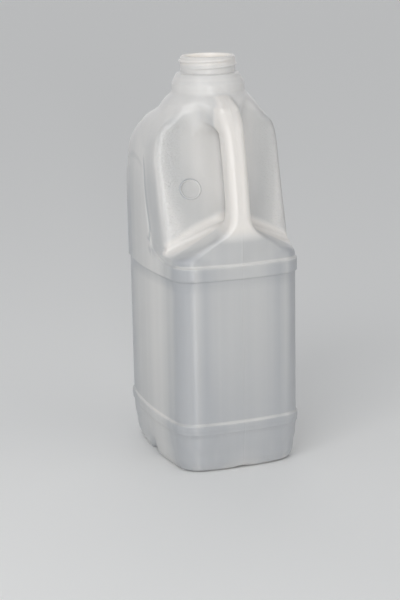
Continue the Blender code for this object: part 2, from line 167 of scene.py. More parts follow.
# Hollow above each grip panel, under the collar: (angle from the front, top of the hollow)
HOLLOW_TOP = ((17.5, 245.9), (21, 247.7), (28.7, 247.6), (37.7, 246.5), (44.6, 244.8), (50, 243),
              (55, 241.2))
HOLLOW_BOTTOM = 222.0
HOLLOW_DEPTH = 18.4
HOLLOW_SIDE = (11, 18.5)
HOLLOW_START = 14.0
HOLLOW_FADE = (50, 62)

# Soft edge where the handle's root meets the grip panel: (height, distance from the middle)
ROOT_EDGE = ((223, 17.2), (237, 15.3))
ROOT_EDGE_HEIGHT = 0.5
ROOT_EDGE_WIDTH = 3.6
ROOT_EDGE_SPAN = ((223, 226), (234, 241))
ROOT_EDGE_DEPTH = (-34, -8)

# Ring raised on the grip panel of the left side
RING_CENTRE = (-23.1, 189.6)
RING_RADIUS = 6.8
RING_SQUEEZE = 0.9
RING_FLAT = 0.15
RING_FLANK = 0.7
RING_HEIGHT = 0.75
RING_DEPTH = (-32, -20)
RING_MARGIN = 2.5

# Zones where the plastic flows together: (low corner, high corner, soft margin, rounds)
HANDLE_ZONES = (((-1, -44, 230), (26, -16, 240), 5, 4),
                ((6, -44, 152), (34, -26, 168), 5, 5),
                ((15, -43, 153), (40, -31, 164), 4, 12))
HOLLOW_ZONES = (((13, -30, 219), (36, -12, 236), 4, 10),
                ((11, -36, 236), (34, -10, 247), 4, 16),
                ((10, -36, 231), (23, -19, 243), 4, 20))
LEAST_SHARE = 0.02

# How milky the plastic is, from 0 where it is blown thin to 1 where it is thick; painted light and
# shade are added to it further on: (distance from the bottle's axis, milkiness)
MILKY_BY_REACH = ((26, 0.58), (30, 0.46), (38, 0.3), (44, 0.4), (47.5, 0.58), (56, 0.4),
                  (58.8, 0.22), (60.5, 0.22), (62.5, 0.13), (64, 0.03), (65.5, 0))
# Painted shade: the wall darker behind the middle and towards the base
REAR_SHADE = 0.2
BASE_SHADE = 0.18
NECK_MILKY = ((165, 0), (205, 0.4), (225, 0.55), (240, 0.6), (250, 0.58), (254, 0.32),
              (258, 0.35), (261, 0.64), (265, 0.36), (268, 0.4), (271, 0.74))
HANDLE_MILKY = 0.88
# Thick plastic and a painted highlight on the upward-facing floor of the finger gap
FLOOR_MILKY_AND_LIT = 0.84
# Painted shade in each flank's crease and on the strip beside the grip panel
CREASE_SHADE = 0.45
STRIP_SHADE = 0.34
# Painted shade round the foot of the ring
RING_SHADE = 0.4
# Painted highlight: a light stripe down each corner of the body
CORNER_HIGHLIGHT = 0.2
CORNER_STRIPE = 32.3
# Painted highlight: a light line along the top edge of each band
BAND_EDGE_HIGHLIGHT = 0.34
# Painted shade under the upper band and along the line over each pad
BAND_FOOT_SHADE = 0.3
PAD_TOP_SHADE = 0.17
PAD_TOP = (24, 208)

# Colour of the plastic, painted light and shade included: (milkiness, colour)
PLASTIC_COLOURS = ((0, (0.415, 0.428, 0.445)), (0.28, (0.54, 0.543, 0.54)),
                   (0.6, (0.69, 0.68, 0.665)), (0.84, (0.775, 0.745, 0.71)),
                   (1, (0.88, 0.84, 0.79)))

# Patterns in the plastic: (scale, detail, stretch)
CLOUDS = (16, 3, (1, 1, 0.35))
STREAKS = (160, 2, (1, 1, 0.012))
GLOSS_PATCHES = (70, 3, (1, 1, 1))
FINE_SKIN = (1100, 2, (1, 1, 1))
PEBBLES = (560, 2, (1, 1, 1.5))
CLOUD_SHARE = 0.16
STREAK_SHARE = 0.14
ROUGHNESS_LOW = 0.34
ROUGHNESS_SPREAD = 0.14
SKIN_RELIEF = 0.18
DIE_LINE_RELIEF = 0.5
PEBBLE_RELIEF = 4

# Light that comes through the wall and shows on the inside
INSIDE_GLOW = (0.09, 0.088, 0.085)

# Studio lamps: (name, degrees left of the front, height in degrees, softness, strength, colour)
LAMPS = (("low_strip", 16, 4, 7, 0.75, (1, 0.985, 0.97)),
         ("rear_fill", 195, 22, 60, 0.35, (1, 0.98, 0.96)),
         ("right_fill", -40, 30, 50, 0.2, (1, 0.98, 0.95)))
# Softbox: degrees left of the front, distance, height and width in metres, power in watts
SOFTBOX = (44, 1.1, 0.8, 0.8, 5.4)
SOFTBOX_AIM = (0, 0, 0.14)
WORLD_COLOUR = (0.95, 0.97, 1)
WORLD_STRENGTH = 0.44
FLOOR_COLOUR = (0.9, 0.9, 0.89)
FLOOR_ROUGHNESS = 0.7
FLOOR_HALF_SIZE = 6

# Camera: its lens in millimetres, its place in metres, and where its right and its top point
CAMERA_LENS = 96.44
CAMERA_PLACE = (-0.389653, -1.022138, 0.385063)
CAMERA_RIGHT = (0.93526, -0.35351, -0.01794)
CAMERA_UP = (0.10354, 0.22477, 0.96889)

# How many faces each run and corner of a section gets, from the front centre to the back
RUN_FACES = (6, 5, 5, 5, 17, 7, 3, 10, 7)
CORNER_FACES = (7, 5, 4, 4, 1, 1, 2, 9)
CORNER_ROOM = 1.04
SEAM_ROOM = 0.4

# Stretches of rows: (from, to, faces)
BODY_STRETCHES = ((-1.5, 2.5, 8), (2.5, 14, 8), (14, 26, 4), (26, 27.2, 3), (27.2, 29, 3),
                  (29, 29.8, 4), (29.8, 32.8, 3), (32.8, 35.6, 8), (35.6, 132.2, 13),
                  (132.2, 133.8, 5), (133.8, 141.6, 5), (141.6, 143.2, 6),
                  (143.2, 151, 9), (151, 170.3, 15))
GAP_STRETCHES = ((170.3, 172.5, 5), (172.5, 225, 26), (225, 229, 7))
SHOULDER_STRETCHES = ((229, 242.5, 14), (242.5, 252.8, 14))
BASE_RINGS = (0.97, 0.94, 0.9, 0.85, 0.79, 0.72, 0.62, 0.5, 0.36, 0.2, 0.06, 0)


def ease(value, low, high):
    """Rise smoothly from 0 at low to 1 at high."""
    step = min(max((value - low) / (high - low), 0.0), 1.0)
    return step * step * (3.0 - 2.0 * step)


def between(value, rise, fall):
    """Rise smoothly from 0 to 1 over one span, and fall back to 0 over another."""
    return ease(value, *rise) * (1 - ease(value, *fall))


def near(value, middle, full, faded):
    """1 as far as full from the middle, falling smoothly to 0 as far as faded from it."""
    return 1 - ease(abs(value - middle), full, faded)


def mix(first, second, share):
    """Go a share of the way from the first value to the second."""
    return first + (second - first) * share


def measured(co):
    """A place in millimetres, with its height counted as in the guide lines."""
    return co.x / MM, co.y / MM, co.z / MM - FOOT_DROP


def draw_in(vertex, share):
    """Bring a vertex level towards the axis, to a share of its distance."""
    vertex.co.x *= share
    vertex.co.y *= share


def follow(guide, height):
    """Read a guide line at a height, on a smooth curve that never overshoots its points."""
    if height <= guide[0][0]:
        return guide[0][1]
    if height >= guide[-1][0]:
        return guide[-1][1]
    slopes = [(b[1] - a[1]) / (b[0] - a[0]) for a, b in zip(guide, guide[1:])]
    place = max(i for i in range(len(slopes)) if guide[i][0] <= height)

    def tangent(i):
        if i == 0:
            return slopes[0]
        if i == len(slopes):
            return slopes[-1]
        if slopes[i - 1] * slopes[i] <= 0:
            return 0.0
        return 2 * slopes[i - 1] * slopes[i] / (slopes[i - 1] + slopes[i])

    low, high = guide[place], guide[place + 1]
    span = high[0] - low[0]
    t = (height - low[0]) / span
    return ((1 + 2 * t) * (1 - t) ** 2 * low[1] + t * (1 - t) ** 2 * span * tangent(place)
            + t * t * (3 - 2 * t) * high[1] + t * t * (t - 1) * span * tangent(place + 1))


def straight(guide, height):
    """Read a guide line at a height, with straight lines between its points."""
    for low, high in zip(guide, guide[1:]):
        if height <= high[0]:
            share = max(height - low[0], 0.0) / (high[0] - low[0])
            return mix(low[1], high[1], share)
    return guide[-1][1]


def line(start, end, bow=0.0):
    """A run from start to end that bulges outwards by bow in its middle."""
    across = (end[0] - start[0], end[1] - start[1])
    length = hypot(*across) or 1.0
    outward = (-across[1] / length, across[0] / length)
    if outward[0] * (start[0] + end[0]) + outward[1] * (start[1] + end[1]) < 0:
        outward = (-outward[0], -outward[1])

    def point(t):
        lift = 4 * bow * t * (1 - t)
        return (mix(start[0], end[0], t) + outward[0] * lift,
                mix(start[1], end[1], t) + outward[1] * lift)

    point.length = length
    return point


def pinch(middle, end, open_share):
    """Half of the narrow waist between handle and chamber, from its middle to one end.
    It is straight far from the gap, and next to the gap it is a saddle's curve."""
    def point(t):
        flat = mix(middle[0], end[0], t)
        curved = sqrt(max(middle[0] ** 2 + (end[0] ** 2 - middle[0] ** 2) * t * t, 0.0))
        return (mix(flat, curved, open_share), mix(middle[1], end[1], t))

    point.length = hypot(end[0] - middle[0], end[1] - middle[1])
    return point


def lip_of_gap(middle_y, tip_y, end):
    """The side of a section that faces the gap, from the middle plane out to its corner."""
    tip = (tip_y - middle_y) ** 2
    far = (end[1] - middle_y) ** 2
    side = 1 if tip_y > middle_y else -1

    def point(t):
        return (end[0] * t, middle_y + side * sqrt(max(tip + (far - tip) * t * t, 0.0)))

    point.length = hypot(end[0], end[1] - tip_y)
    return point


def backwards(run):
    """The same run, from its end to its start."""
    def point(t):
        return run(1 - t)

    point.length = run.length
    return point


def round_corner(start, corner, end, faces):
    """Points inside a round corner that touches its two runs at start and end."""
    to_start = atan2(start[1] - corner[1], start[0] - corner[0])
    to_end = atan2(end[1] - corner[1], end[0] - corner[0])
    weight = sin(abs((to_start - to_end + pi) % (2 * pi) - pi) / 2)
    points = []
    for i in range(1, faces):
        t = i / faces
        parts = ((1 - t) ** 2, 2 * weight * t * (1 - t), t * t)
        points.append(tuple(sum(part * p[axis] for part, p in zip(parts, (start, corner, end)))
                            / sum(parts) for axis in (0, 1)))
    return points


def trace(runs, corners, reaches, run_faces, corner_faces):
    """Points along runs that meet in round corners. A corner's reach is how far along its
    runs the rounding goes."""
    cuts = []
    last = len(runs) - 1
    for i, run in enumerate(runs):
        before = reaches[i - 1] if i else 0.0
        after = reaches[i] if i < len(reaches) else 0.0
        share = 1 / max(run.length, CORNER_ROOM * (before + after))
        cuts.append((before * share, after * share))
    points = []
    for i, run in enumerate(runs):
        start, stop = cuts[i][0], 1 - cuts[i][1]
        share = min(1 / run.length, SEAM_ROOM * (stop - start) / SEAM_COLUMNS[-1])
        seam = [0.0] + [column * share for column in SEAM_COLUMNS]
        early = seam[:] if i == 0 else []
        late = [1 - place for place in reversed(seam)] if i == last else []
        start = early.pop() if early else start
        stop = late.pop(0) if late else stop
        steps = run_faces[i]
        even = [mix(start, stop, k / steps) for k in range(steps + 1)]
        own = [run(place) for place in early + even + late]
        points += own
        if i < len(corners):
            ahead = runs[i + 1](cuts[i + 1][0])
            points += round_corner(own[-1], corners[i], ahead, corner_faces[i])
    return points


def side_x(y):
    """The bowed side of the plain body at a depth y."""
    return HALF_WIDTH - SIDE_BOW * (y / HALF_DEPTH) ** 2


def saddle_x(climb, slope):
    """Half-width of a crest with a round top, a climb below it."""
    return sqrt(max((climb + CREST_ROUND) ** 2 - CREST_ROUND ** 2, 0.0)) / slope


def panel_y(height, x):
    """The grip panel behind the handle, at a distance x from the middle plane."""
    share = max(follow(EDGE_X, height) - x, 0.0) / (follow(EDGE_X, height) - NOSE_X[0][1])
    return -follow(EDGE_Y, height) - follow(NOSE_SETBACK, height) * share


def handle_gap(height):
    """The handle's rear line, the chamber's front line and the middle between them, in the
    middle plane, with the gap's round ends."""
    rear = -follow(HEEL_Y, height)
    panel = panel_y(height, follow(NOSE_X, height))
    middle = (rear + panel) / 2
    low = min((height - GAP_BOTTOM) / GAP_BOTTOM_ROUND, 1.0)
    high = min((GAP_TOP - height) / GAP_TOP_ROUND, 1.0)
    nearest = max(min(low, high), 0.0)
    opening = sqrt(1 - (1 - nearest) ** 2)
    return mix(middle, rear, opening), mix(middle, panel, opening), middle


def section(height, inset=0.0):
    """The half section at a height: the handle's points and the chamber's points, with the
    finger gap between them where there is one."""
    proud = -inset
    rear = proud if height < BODY_TOP - 1 else BAND_PROUD
    dome = follow(DOME, height)
    apart = GAP_BOTTOM < height < GAP_TOP

    front = (0.0, -follow(FRONT_Y, height) - proud)
    ridge = (follow(RIDGE_X, height) + proud, -follow(RIDGE_Y, height) - proud)
    heel_y = -follow(HEEL_Y, height)
    heel_x = follow(HEEL_X, height) if height > HEEL_X[0][0] else side_x(heel_y) + proud
    heel = (heel_x, heel_y)
    edge = (follow(EDGE_X, height), -follow(EDGE_Y, height))
    crease_y = -follow(CREASE_Y, height)
    waist_y = -follow(WAIST_Y, height)

    if height < GAP_BOTTOM + 0.001:
        crest = GAP_BOTTOM - height
        inner_x = max(saddle_x(crest + PANEL_CLEARANCE, FLOOR_SLOPE), NOSE_X[0][1])
        inner_y = panel_y(height, inner_x) - mix(*PANEL_STEP, ease(height, *PANEL_STEP_SPAN))
        side_share = ease(height, *SIDE_TO_PANEL)
        inner_limit = mix(side_x(inner_y) + proud, edge[0] - INNER_CLEARANCE, side_share)
        waist_limit = mix(side_x(waist_y) + proud, edge[0] - WAIST_CLEARANCE, side_share)
        inner = (min(inner_x, inner_limit), inner_y)
        waist = (min(saddle_x(crest, FLOOR_SLOPE), waist_limit), waist_y)
        open_share = ease(height, *(GAP_BOTTOM - below for below in FLOOR_OPENING))
    elif apart:
        nose_x = follow(NOSE_X, height)
        inner = (nose_x, panel_y(height, nose_x))
    else:
        open_x = saddle_x(height - GAP_TOP, ROOF_SLOPE)
        waist = (min(open_x, follow(ROOF_WAIST_X, height)), waist_y)
        inner = (follow(NOSE_X, height), -follow(EDGE_Y, height) - follow(NOSE_SETBACK, height))
        open_share = 1 - ease(height, *(GAP_TOP + above for above in ROOF_OPENING))

    side = mix(HALF_WIDTH + rear, SHOULDER_RADIUS, dome)
    risen = ease(height, *REAR_CORNER_SPAN)
    corner = tuple(mix(mix(low + rear, high, risen), SHOULDER_RADIUS, dome)
                   for low, high in zip(CORNER, REAR_CORNER))
    back = (0.0, mix(HALF_DEPTH + rear, SHOULDER_RADIUS, dome))
    if height < BODY_TOP:
        edge = (side_x(edge[1]), edge[1])
    edge = (edge[0] + proud, edge[1])
    bow = mix(SIDE_BOW, side - corner[0], ease(height, *BOW_CHANGE))
    relief = min(rear - proud, follow(PAD_RELIEF, height))
    pad_y = crease_y + CREASE_WIDTH
    pad = (side - bow * (pad_y / HALF_DEPTH) ** 2, pad_y)
    crease = (side - relief - bow * (crease_y / HALF_DEPTH) ** 2, crease_y)
    corner_reach = mix(CORNER_REACH, SHOULDER_RADIUS, dome)

    front_bow = FRONT_BOW / 4 if height < BODY_TOP else UPPER_FRONT_BOW
    side_run = line(pad, corner, SIDE_BOW / 4 * (1 - dome) * (corner[1] - pad[1]) ** 2
                    / HALF_DEPTH ** 2)
    slant = SIDE_BOW / 4 * ((crease[1] - edge[1]) / HALF_DEPTH) ** 2
    front_runs = [line(front, ridge, front_bow), line(ridge, heel, 0.0)]
    rear_runs = [line(inner, edge, 0.0), line(edge, crease, slant), line(crease, pad, 0.0),
                 side_run, line(corner, back, FRONT_BOW / 4 * (1 - dome))]
    if apart:
        handle_y, nose_y, middle_y = handle_gap(height)
        front_runs.append(backwards(lip_of_gap(middle_y, handle_y, heel)))
        rear_runs.insert(0, lip_of_gap(middle_y, nose_y, inner))
    else:
        front_runs.append(backwards(pinch(waist, heel, open_share)))
        rear_runs.insert(0, pinch(waist, inner, open_share))

    ridge_reach = follow(RIDGE_REACH, height)
    heel_reach = follow(HEEL_REACH, height)
    handle = trace(front_runs, [ridge, heel], [ridge_reach, heel_reach],
                   RUN_FACES[:3], CORNER_FACES[:2])
    chamber = trace(rear_runs, [inner, edge, crease, pad, corner],
                    [PANEL_REACH, EDGE_REACH, CREASE_REACH, CREASE_REACH, corner_reach],
                    RUN_FACES[3:], CORNER_FACES[3:])
    return handle, chamber


def collar_ring(height):
    """The half section of the round collar, with the crest that the handle ends in. Its points
    sit where the section below has them and are spread evenly by the neck."""
    handle, chamber = section(SHOULDER_END)
    below = handle + chamber[1:]
    radius = straight(COLLAR, height)
    lift = straight(CREST, height)
    flat, foot = straight(CREST_FLAT, height), straight(CREST_FOOT, height)
    even = ease(height, 243, COLLAR[-1][0])
    points = []
    for i, (x, y) in enumerate(below):
        angle = mix(atan2(x, -y), pi * i / (len(below) - 1), even)
        reach = radius + lift * (1 - ease(radius * angle, flat, foot))
        points.append((reach * sin(angle), -reach * cos(angle)))
    return points


def inset_at(height):
    """How far the plain body's section lies inside the label panel's, at a height."""
    if height < LOWER_BAND[0][0]:
        return follow(FOOT_INSET, height)
    band = LOWER_BAND if height < UPPER_BAND[0][0] else UPPER_BAND
    return -BAND_PROUD * straight(band, height)


def channel(x, y, height):
    """Lift of the underside along the two shallow channels that part the four feet."""
    low = 1 - ease(height, -FOOT_DROP, CHANNEL_TOP)
    across = SIDE_CHANNEL * near(y, 0, 1, CHANNEL_HALF_WIDTH)
    along = FRONT_CHANNEL * near(x, 0, 1, CHANNEL_HALF_WIDTH)
    return low * max(across, along)


def notch(x, y, height):
    """How far the two side channels bite into the foot's wall."""
    share = (1 - ease(height, *NOTCH_ENDS)) * ease(abs(x), *NOTCH_REACH)
    return SIDE_NOTCH * share * near(y, 0, 1, 0.8 * CHANNEL_HALF_WIDTH)


def climb(y, height):
    """Lift of the rows that follow the upper band's top line up the sides."""
    share = between(height, CLIMB_STARTS, CLIMB_ENDS)
    return share * follow(SWEEP, y) if share else 0.0


def skin_row(height):
    """Both parts of the skin's row at a height, as points in space."""
    if height > SHOULDER_END:
        return [(x, y, height) for x, y in collar_ring(height)], None
    handle, chamber = section(height, inset_at(height))
    rows = [[(x - notch(x, y, height), y, height + channel(x, y, height) + climb(y, height))
             for x, y in part] for part in (handle, chamber)]
    return rows[0], rows[1]


def base_row(scale):
    """A row of the underside: the foot's outline drawn in towards the middle and pushed up."""
    handle, chamber = skin_row(-FOOT_DROP)
    rise = PUSH_UP * ease(1 - scale, *PUSH_UP_SPAN)
    return [(x * scale, y * scale, mix(-FOOT_DROP, z, scale) + rise)
            for x, y, z in handle + chamber[1:]]


def heights(stretches):
    """Heights of the rows through some stretches, both ends included."""
    rows = [stretches[0][0]]
    for start, stop, faces in stretches:
        rows += [mix(start, stop, i / faces) for i in range(1, faces + 1)]
    return rows


def lay_skin(mesh, rows):
    """A grid of faces, laid onto rows of points."""
    columns = len(rows[0])
    grid = bmesh.ops.create_grid(mesh, x_segments=columns - 1, y_segments=len(rows) - 1, size=1)
    for i, vertex in enumerate(grid["verts"]):
        x, y, z = rows[i // columns][i % columns]
        vertex.co = (x * MM, y * MM, (z + FOOT_DROP) * MM)


def joined(parts):
    """Both parts of a row as one, where there is no finger gap between them."""
    handle, chamber = parts
    return handle + chamber[1:] if chamber else handle


def blow_half():
    """The outer skin of one half up to the neck, in patches that share their border rows."""
    mesh = bmesh.new()
    lay_skin(mesh, [base_row(scale) for scale in reversed(BASE_RINGS)]
             + [joined(skin_row(height)) for height in heights(BODY_STRETCHES)])
    gap = [skin_row(height) for height in heights(GAP_STRETCHES)]
    lay_skin(mesh, [handle for handle, _ in gap])
    lay_skin(mesh, [chamber for _, chamber in gap])
    lay_skin(mesh, [joined(skin_row(height)) for height in heights(SHOULDER_STRETCHES)])
    bmesh.ops.remove_doubles(mesh, verts=mesh.verts, dist=WELD)
    return mesh


def near_zone(co, low, high, soft):
    """1 inside a box given in millimetres, falling to 0 within a soft margin round it."""
    share = 1.0
    for value, start, stop in zip(co, low, high):
        share = min(share, ease(value, start - soft, start), 1 - ease(value, stop, stop + soft))
    return share


def soften(mesh, low, high, soft, rounds):
    """Let the plastic flow together in a zone, as it does in the mould's corners."""
    zone = []
    for vertex in mesh.verts:
        x, y, z = measured(vertex.co)
        share = near_zone((abs(x), y, z), low, high, soft)
        if share > LEAST_SHARE:
            zone.append((vertex, share))
    for _ in range(rounds):
        before = [vertex.co.copy() for vertex, _ in zone]
        bmesh.ops.smooth_vert(mesh, verts=[vertex for vertex, _ in zone], factor=0.5,
                              use_axis_x=True, use_axis_y=True, use_axis_z=True)
        for (vertex, share), old in zip(zone, before):
            vertex.co = old.lerp(vertex.co, share)


def turn_neck(mesh, steps):
    """The cone, the barrel and the lip of the neck, turned round the bottle's axis."""
    profile = []
    for (low, inner), (high, outer) in zip(NECK, NECK[1:]):
        faces = max(round(hypot(high - low, outer - inner) / NECK_FACE), 1)
        profile += [(mix(low, high, i / faces), mix(inner, outer, i / faces))
                    for i in range(faces)]
    profile.append(NECK[-1])
    verts = [mesh.verts.new((0, -radius * MM, (height + FOOT_DROP) * MM))
             for height, radius in profile]
    edges = [mesh.edges.new(pair) for pair in zip(verts, verts[1:])]
    bmesh.ops.spin(mesh, geom=verts + edges, cent=(0, 0, 0), axis=(0, 0, 1), angle=2 * pi,
                   steps=steps, use_merge=True)


def thread_lift(x, y, z):
    """Height of the screw thread above the neck's barrel at a point of the barrel."""
    turn = (atan2(x, -y) / (2 * pi)) % 1.0
    best = 0.0
    for whole_turns in (-1, 0, 1):
        turns = turn + whole_turns + THREAD_LEAD
        if 0 <= turns <= THREAD_TURNS:
            above = z - THREAD_START - THREAD_PITCH * turns
            ends = between(turns, (0, THREAD_RUN_IN), (THREAD_TURNS - THREAD_RUN_OUT, THREAD_TURNS))
            best = max(best, ends * near(above, 0, THREAD_FLAT, THREAD_FLANKS[above > 0]))
    return best * THREAD_DEPTH


def finish_neck(mesh):
    """Bore the neck straight and raise the screw thread on its barrel."""
    lip = NECK[-1][0] - 0.1
    for vertex in mesh.verts:
        x, y, z = measured(vertex.co)
        radius = hypot(x, y)
        if z < BORE_SPAN[0] or radius < 1:
            continue
        if radius < BARREL_RADIUS - 0.6 * WALL:
            if z <= lip:
                draw_in(vertex, mix(radius, BORE_RADIUS, ease(z, *BORE_SPAN)) / radius)
        elif z > BARREL_START and radius > BARREL_RADIUS - 0.01:
            draw_in(vertex, (radius + thread_lift(x, y, z)) / radius)


def sink_hollows(mesh):
    """Carry each grip panel on upwards, to the curved line in which it ends under the collar."""
    for vertex in mesh.verts:
        x, y, z = measured(vertex.co)
        angle = degrees(atan2(abs(x), -y))
        top = follow(HOLLOW_TOP, angle)
        if HOLLOW_START < angle < HOLLOW_FADE[1] and HOLLOW_BOTTOM < z < top:
            radius = hypot(x, y)
            rise = (z - HOLLOW_BOTTOM) / (top - HOLLOW_BOTTOM)
            panel = mix(HOLLOW_DEPTH / cos(radians(angle)), straight(COLLAR, top), rise)
            share = ease(abs(x), *HOLLOW_SIDE) * (1 - ease(angle, *HOLLOW_FADE))
            draw_in(vertex, mix(1, min(panel / radius, 1), share))


def raise_root_edge(mesh):
    """The soft upright edge on each grip panel beside the handle's root."""
    for vertex in mesh.verts:
        x, y, z = measured(vertex.co)
        if ROOT_EDGE_DEPTH[0] < y < ROOT_EDGE_DEPTH[1]:
            share = near(abs(x), straight(ROOT_EDGE, z), 0, ROOT_EDGE_WIDTH)
            vertex.co.y -= ROOT_EDGE_HEIGHT * share * between(z, *ROOT_EDGE_SPAN) * MM


def raise_seam(mesh):
    """The fine line that the two halves of the mould leave all round the middle plane."""
    mesh.normal_update()
    for vertex in mesh.verts:
        if abs(vertex.co.x) < WELD:
            vertex.co += vertex.normal * SEAM_HEIGHT * MM


def from_ring(x, z):
    """Distance from the ring's centre, with its height stretched to make it round."""
    return hypot(x - RING_CENTRE[0], (z - RING_CENTRE[1]) / RING_SQUEEZE)


def raise_ring(mesh):
    """A plain ring, raised on the left grip panel."""
    def from_centre(co):
        x, _, z = measured(co)
        return from_ring(x, z)

    def outside(face_or_vertex, co):
        return face_or_vertex.normal.y < -0.5 and RING_DEPTH[0] * MM < co.y < RING_DEPTH[1] * MM

    panel = set()
    for face in mesh.faces:
        middle = face.calc_center_median()
        if from_centre(middle) < RING_RADIUS + RING_MARGIN and outside(face, middle):
            panel.add(face)
    panel_edges = [edge for edge in mesh.edges if not panel.isdisjoint(edge.link_faces)]
    bmesh.ops.subdivide_edges(mesh, edges=panel_edges, cuts=5, use_grid_fill=True)
    mesh.normal_update()
    for vertex in mesh.verts:
        away = abs(from_centre(vertex.co) - RING_RADIUS)
        if away < RING_FLANK and outside(vertex, vertex.co):
            vertex.co += vertex.normal * RING_HEIGHT * MM * (1 - ease(away, RING_FLAT, RING_FLANK))


def make_bottle():
    """The whole bottle: both halves, the neck, the wall and the fine relief."""
    mesh = blow_half()
    bmesh.ops.mirror(mesh, geom=mesh.verts[:] + mesh.edges[:] + mesh.faces[:],
                     matrix=Matrix.Identity(4), merge_dist=WELD, axis="X")
    bmesh.ops.remove_doubles(mesh, verts=mesh.verts, dist=WELD)
    for zone in HANDLE_ZONES:
        soften(mesh, *zone)
    sink_hollows(mesh)
    for zone in HOLLOW_ZONES:
        soften(mesh, *zone)
    raise_root_edge(mesh)
    around = sum(1 for edge in mesh.edges if edge.is_boundary)
    turn_neck(mesh, around)
    bmesh.ops.remove_doubles(mesh, verts=mesh.verts, dist=WELD)
    bmesh.ops.recalc_face_normals(mesh, faces=mesh.faces)
    raise_seam(mesh)
    inside = mesh.verts.layers.float.new("inside")
    wall = bmesh.ops.solidify(mesh, geom=mesh.faces[:], thickness=WALL * MM)
    for part in wall["geom"]:
        if isinstance(part, bmesh.types.BMVert):
            part[inside] = 1.0
    finish_neck(mesh)
    raise_ring(mesh)
    data = bpy.data.meshes.new("milk_bottle")
    mesh.to_mesh(data)
    mesh.free()
    for polygon in data.polygons:
        polygon.use_smooth = True
    note_plastic(data)
    bottle = bpy.data.objects.new("milk_bottle", data)
    bpy.context.scene.collection.objects.link(bottle)
    return bottle


def wall_milkiness_and_shade(x, y, z):
    """The plain wall's milkiness, with painted shade behind the middle and towards the base."""
    rear = between(y, (-25, 15), (38, 50)) * (1 - ease(z, 170, 220))
    low = 1 - ease(z, 0, 120)
    return follow(MILKY_BY_REACH, hypot(x, y)) - REAR_SHADE * rear - BASE_SHADE * low


def neck_milkiness(x, y, z):
    """The neck and the collar, and the shoulder behind the grip panels."""
    behind = ease(y + follow(EDGE_Y, z), 0, 5) * max(ease(abs(x), 5, 12), ease(y, 0, 10))
    return follow(NECK_MILKY, z) * max(ease(z, 226, 246), behind)


def handle_milkiness(x, y, z):
    """The handle, which spreads at its foot and narrows where it ends in the collar."""
    arched = ease(z, 240, 249)
    wide = 9 - 4.5 * arched
    spread = 5 + 14 * (1 - ease(z, 160, 176))
    back = 30 - 8 * arched
    along = between(z, (152, 168), (252, 258))
    return HANDLE_MILKY * along * (1 - ease(abs(x), wide, wide + spread)) * ease(-y, back, back + 6.5)


def floor_milkiness_and_light(x, y, z):
    """The sloping floor under the finger gap and the grip panels: thicker plastic, and a painted
    highlight where it faces up.
    """
    above = z - GAP_BOTTOM + FLOOR_SLOPE * abs(x)
    return FLOOR_MILKY_AND_LIT * between(above, (-6, -2), (2, 12)) * between(-y, (26, 32), (41, 46))


def corner_highlight(x, y, z):
    """A painted highlight: a light stripe down each corner of the body."""
    stripe = near(abs(x), CORNER_STRIPE, 0.6, 3.6) * ease(abs(y), 46, 52)
    return CORNER_HIGHLIGHT * stripe * (1 - ease(z, BODY_TOP, 150))


def band_edge_highlight(y, z):
    """A painted highlight: a light line along the top edge of each band, of the upper one at the
    front alone.
    """
    upper = near(z, UPPER_BAND[-1][0] - 0.2, 0.5, 1.3) * ease(-y, 44, 50)
    lower = near(z, LOWER_BAND[-1][0] - 0.2, 0.5, 1.3)
    return BAND_EDGE_HIGHLIGHT * max(upper, lower)


def crease_painted_shade(x, y, z):
    """Painted shade: a dark line in the crease before each flank's pad, and a darker strip between it
    and the panel.
    """
    before = -follow(CREASE_Y, z) - y
    flank = ease(abs(x), 30, 36)
    crease = between(z, (143, 147), (205, 214)) * near(before, 0.3, 0.2, 0.9)
    strip = between(z, (143, 150), (185, 235)) * between(before, (0, 5), (13, 20))
    return flank * (CREASE_SHADE * crease + STRIP_SHADE * strip)


def ring_painted_shade(x, y, z):
    """Painted shade at the foot of the ring, darkest on its upper left, the side away from the
    handle's foot.
    """
    foot = near(from_ring(x, z), RING_RADIUS + 0.6, 0.1, 0.6) * between(-y, (18, 20), (32, 34))
    upper_left = ease(z - RING_CENTRE[1] - x + RING_CENTRE[0], -6, 7)
    return RING_SHADE * foot * mix(0.35, 1, upper_left)


def painted_line_shade(x, y, z):
    """Painted shade under the upper band's lower edge, and along the curved line over each flank's
    pad.
    """
    under = near(z, UPPER_BAND[0][0] + 0.3, 0.4, 1.1) * mix(0.3, 1, ease(abs(x), 42, 46))
    middle, top = PAD_TOP
    over = near(z, top - 0.012 * (y - middle) ** 2, 0.6, 2.2)
    over *= between(y, (-2, 8), (30, 42)) * ease(abs(x), 38, 42)
    return BAND_FOOT_SHADE * under + PAD_TOP_SHADE * over


def milkiness_and_light(x, y, z):
    """Plastic gathers where it is blown least: at the neck, the handle and the gap's floor, and it
    is thinnest at the corners. Painted light and shade are added: highlights down the corners,
    along the band edges and on the gap's floor, the lit inside of the bore, and shade in the
    crease, beside the panels, round the ring, under the upper band and over each pad."""
    # Painted light: the inside of the bore gets the lightest colour, against the shade deep in the
    # neck
    lit_bore = ease(z, 258, 264) * (1 - ease(hypot(x, y), 16.8, 17.4))
    # The plain wall, with painted highlights down the corners and along the band edges
    wall = wall_milkiness_and_shade(x, y, z) + corner_highlight(x, y, z) + band_edge_highlight(y, z)
    thick_and_lit = max(wall, neck_milkiness(x, y, z), handle_milkiness(x, y, z),
                floor_milkiness_and_light(x, y, z), lit_bore)
    # Painted shade is taken off in the crease, beside the panels, round the ring, under the band and
    # over the pads
    return thick_and_lit - crease_painted_shade(x, y, z) - ring_painted_shade(x, y, z) - painted_line_shade(x, y, z)


